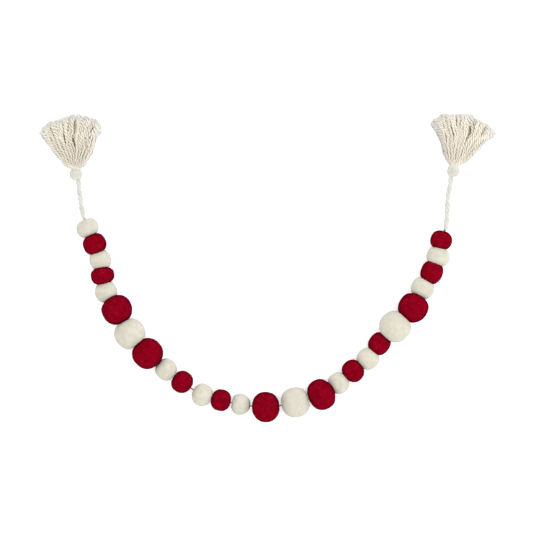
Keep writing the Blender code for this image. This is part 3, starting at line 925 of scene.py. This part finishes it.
def yarn_routes(tassel, draw):
    """A tassel's yarns from inside the neck to their tips, and the layer of each."""
    layers, sides, sinks = yarn_places(draw)
    lengths = np.interp(sides, np.linspace(-1, 1, len(tassel.lengths)), tassel.lengths)
    lengths -= LAYER_STEP * layers
    lengths += draw.uniform(-1, 1, len(sides)) * LENGTH_SPREAD
    lengths += SCALLOP_DEPTH * np.sin(math.pi * SCALLOPS * sides + draw.uniform(0, 2 * math.pi))
    lengths -= draw.uniform(0, SIDE_STEP, len(sides)) * (np.abs(sides) > SIDE_YARN)
    out = np.linspace(*OUT_PLACES)
    left, right = edge(tassel, "left", out), edge(tassel, "right", out)
    inner = np.clip(out / NARROW_LENGTH, NARROW_SHARE, 1) * YARN_WIDTH / 2
    middle, half = (left + right) / 2, (right - left) / 2 - inner
    across = middle + sides[:, None] * half
    for wavelength, swing in WANDER.items():
        phase = draw.uniform(0, 2 * math.pi, (len(sides), 1))
        free = np.clip(out / wavelength, 0, 1)
        across += swing * free * np.sin(2 * math.pi * out / wavelength + phase)
    for parting in tassel.partings:
        away = sides[:, None] - parting.side
        window = np.clip((out - parting.start) / (parting.end - parting.start), 0, 1)
        push = np.exp(-((away / PARTING_SPREAD) ** 2)) * np.sin(math.pi * window) ** 2
        apart = np.clip(layers - len(YARNS) + 1 + parting.depth, 0, 1)[:, None]
        across += np.sign(away) * parting.width * push * apart
    part = out / SKIRT_LENGTH
    height = level_at("lowest", part) + layers[:, None] * level_at("pitch", part)
    height -= sinks * (1 - np.clip(out / SINK_LENGTH, 0, 1))
    fan = np.clip(out / RISE_START, 0, 1)
    height += RISE_SWING * fan * np.sin(2 * math.pi * out / RISE_WAVELENGTH + phase)
    routes = []
    for x, z, length in zip(across, height, lengths):
        full = np.stack([tassel.neck_x + x, tassel.neck_y + out, np.maximum(z, YARN_LOWEST)], axis=1)
        start = np.interp(0, out, places(full))
        routes.append(resampled(full, np.linspace(0, start + length, YARN_POINTS)))
    return np.array(routes), layers


def frayed_tips(routes, draw):
    """Loose fibres at the end of each yarn."""
    strings = Strings()
    count = len(routes)
    along, side, top = (vectors[:, FRAY_POINT] for vectors in directions(routes, UP))
    for _ in range(FRAY_FIBRES):
        turn = draw.uniform(0, 2 * math.pi, (count, 1))
        away = np.cos(turn) * side * FRAY_WIDTH + np.sin(turn) * top
        spread = draw.uniform(*FRAY_SPREADS, (count, 1)) * FRAY_SPREAD
        length = FRAY_LENGTH * draw.uniform(*FRAY_LENGTHS, (count, 1))
        root = routes[:, -1] - along * FRAY_LENGTH * FRAY_ROOT
        root += away * draw.uniform(*FRAY_ROOTS, (count, 1))
        points = [
            root + (along * step + away * spread * step**FRAY_BEND) * length for step in FRAY_STEPS
        ]
        fibres = np.stack(points, axis=1)
        fibres[..., 2] = np.maximum(fibres[..., 2], FRAY_RADIUS)
        strings.add(fibres, FRAY_RADIUS * np.array(FRAY_TAPER), FIBRE_SIDES)
    return strings


def stray_fibres(strings, routes, draw):
    """Fine fibres that stand off the yarns."""
    count, points = routes.shape[:2]
    rows = np.arange(count)
    first, last = STRAY_ENDS[0], points - STRAY_ENDS[1]
    for _ in range(STRAY_FIBRES):
        at = draw.integers(first, last, count)
        root = routes[rows, at]
        ahead = unit(routes[rows, at + STRAY_AHEAD] - root)
        away = unit(draw.normal(size=(count, 3)) + UP * STRAY_RISE)
        length = draw.uniform(*STRAY_LENGTH, (count, 1))
        fibres = np.stack([
            root,
            root + away * STRAY_OFF[0] + ahead * length * STRAY_HALFWAY,
            root + away * STRAY_OFF[1] + ahead * length,
        ], axis=1)
        fibres[..., 2] = np.maximum(fibres[..., 2], STRAY_LOWEST)
        strings.add(fibres, STRAY_RADIUS * np.array(STRAY_TAPER), FIBRE_SIDES)


def skirt_tone_and_shade(tassel, points):
    """The tint of each point of a skirt: tan in its depth, which is painted shade, and grey along its two
    sides.
    """
    out = points[:, 1] - tassel.neck_y
    part = out / SKIRT_LENGTH
    top = level_at("lowest", part) + (len(YARNS) - 1) * level_at("pitch", part)
    depth = np.clip((top - points[:, 2] - CREVICE_START) / CREVICE_DEPTH, 0, 1)
    left, right = edge(tassel, "left", out), edge(tassel, "right", out)
    across = np.abs(2 * (points[:, 0] - tassel.neck_x) - left - right) / (right - left)
    reach = np.hypot(out, points[:, 0] - tassel.neck_x)
    depth *= np.interp(across, CREVICE_SIDE, (1, 0)) * np.interp(reach, CREVICE_END, (1, 0))
    return blended(PAINTED_CREVICE_SHADE, depth) * blended(SIDE_TINT, np.interp(across, SIDE_START, (0, 1)))


def tassel_skirt(tassel, material, fluffy, draw):
    """The skirt's yarns, whose plies come apart and fray at its tip."""
    routes, layers = yarn_routes(tassel, draw)
    strings = Strings()
    tint = draw.uniform(*YARN_TINTS, len(layers))
    to_tip = places(routes)[:, -1:] - places(routes)
    loose = np.clip(1 - to_tip / LOOSE_LENGTH, 0, 1)
    size = level_at("size", places(routes) / WHOLE_YARN - ROOT_SHARE)
    start = draw.uniform(0, 2 * math.pi, (len(routes), 1))
    pitch = PLY_PITCH * draw.uniform(*PITCH_SPREAD, (len(routes), 1))
    offset = PLY_OFFSET * size * (1 + LOOSE_WIDTH * loose)
    radii = PLY_RADIUS * size * np.clip(to_tip / ENDING_LENGTH, ENDING_SIZE, 1)
    groove_shade = 1 - LOOSE_GROOVE_SHADE * loose
    for ply in range(PLIES):
        line = wound(routes, ply, PLIES, offset, pitch, start=start)
        line[..., 2] = np.maximum(line[..., 2], PLY_RADIUS * size)
        strings.add(line, radii, PLY_SIDES, tint, core=routes, groove_shade=groove_shade)
    stray_fibres(strings, routes, draw)
    strings.tint = [np.concatenate(strings.tint) * skirt_tone_and_shade(tassel, np.concatenate(strings.points))]
    strings.make(f"skirt_{tassel.side}", material, "tassel_cotton", [f"tassel_{tassel.side}"])
    frayed_tips(routes, draw).make(f"fray_{tassel.side}", fluffy, "tassel_cotton")


def tassel_head(tassel, material, draw):
    """The yarns folded over the cord, gathered at the neck and tied there."""
    middle = np.array((tassel.head_x, tassel.head_y, HEAD_MIDDLE))
    neck = np.array((tassel.neck_x, tassel.neck_y, HEAD_MIDDLE))
    width, length, height = (radius - HEAD_INSET for radius in HEAD_RADII)
    girth = np.array((width, 0, height))
    strings = Strings()
    shifts = draw.uniform(-HEAD_SPREAD, HEAD_SPREAD, HEAD_YARNS)
    angles = 2 * math.pi * (np.arange(HEAD_YARNS) + shifts) / HEAD_YARNS
    bend = np.radians(np.linspace(*HEAD_POLES, HEAD_POINTS))
    for angle in angles:
        out = np.array((math.cos(angle), 0, math.sin(angle)))
        folded = middle + np.sin(bend)[:, None] * out * girth - np.cos(bend)[:, None] * (0, length, 0)
        gathered = neck + out * NECK_RADIUS + np.array(GATHERED)
        line = smooth_route([*folded, *gathered], HEAD_STEP)
        line[:, 2] = np.maximum(line[:, 2], (PLY_OFFSET + PLY_RADIUS) * HEAD_PLY_SIZE)
        up = np.array((-math.sin(angle), 0, math.cos(angle)))
        start = draw.uniform(0, 2 * math.pi)
        for ply in range(PLIES):
            yarn = wound(line, ply, PLIES, PLY_OFFSET * HEAD_PLY_SIZE, PLY_PITCH, up, start)
            strings.add(yarn[None], PLY_RADIUS * HEAD_PLY_SIZE, PLY_SIDES, up=up)
    bend = np.linspace(0, math.pi, CORE_POINTS)
    core = middle + np.stack([0 * bend, -np.cos(bend) * (length - CORE_INSET), 0 * bend], axis=1)
    core_radii = np.maximum(np.sin(bend), CORE_TIP) * (height - CORE_INSET)
    # The core and waist are painted darker, as painted shade beneath the folded yarns.
    strings.add(core[None], core_radii, CORE_SIDES, PAINTED_CORE_SHADE)
    waist = neck + np.linspace(*WAIST, WAIST_POINTS)
    strings.add(waist[None], NECK_RADIUS, CORE_SIDES, PAINTED_CORE_SHADE)
    turns = np.linspace(0, 1, TIE_POINTS)[:, None]
    axis = neck + TIE_START + turns * (0, TIE_PITCH * TIE_TURNS, 0)
    tie = wound(axis, 0, 1, NECK_RADIUS + TIE_OFFSET, TIE_PITCH)
    strings.add(tie[None], TIE_RADIUS, TIE_SIDES)
    strings.make(f"head_{tassel.side}", material, "tassel_cotton", [f"tassel_{tassel.side}"])


def main():
    draw = np.random.default_rng(SEED)
    add_camera()
    cotton = string_material("cotton_yarn")
    cord_cotton = string_material("cord_cotton")
    head_cotton = string_material("head_cotton")
    for side in CORDS:
        tassel_cord(side, cord_cotton)
    add_stage()
    felts = {felt: felt_material(felt) for felt in FELTS}
    for index in range(len(BALLS)):
        felt_ball(index, felts)
    for felt in FELTS:
        felt_fibres(felt, string_material(f"loose_{felt}_wool"), draw)
    stringing_thread(string_material("dark_thread"))
    fluffy = string_material("frayed_cotton")
    for tassel in TASSELS:
        tassel_skirt(tassel, cotton, fluffy, draw)
        tassel_head(tassel, head_cotton, draw)


main()
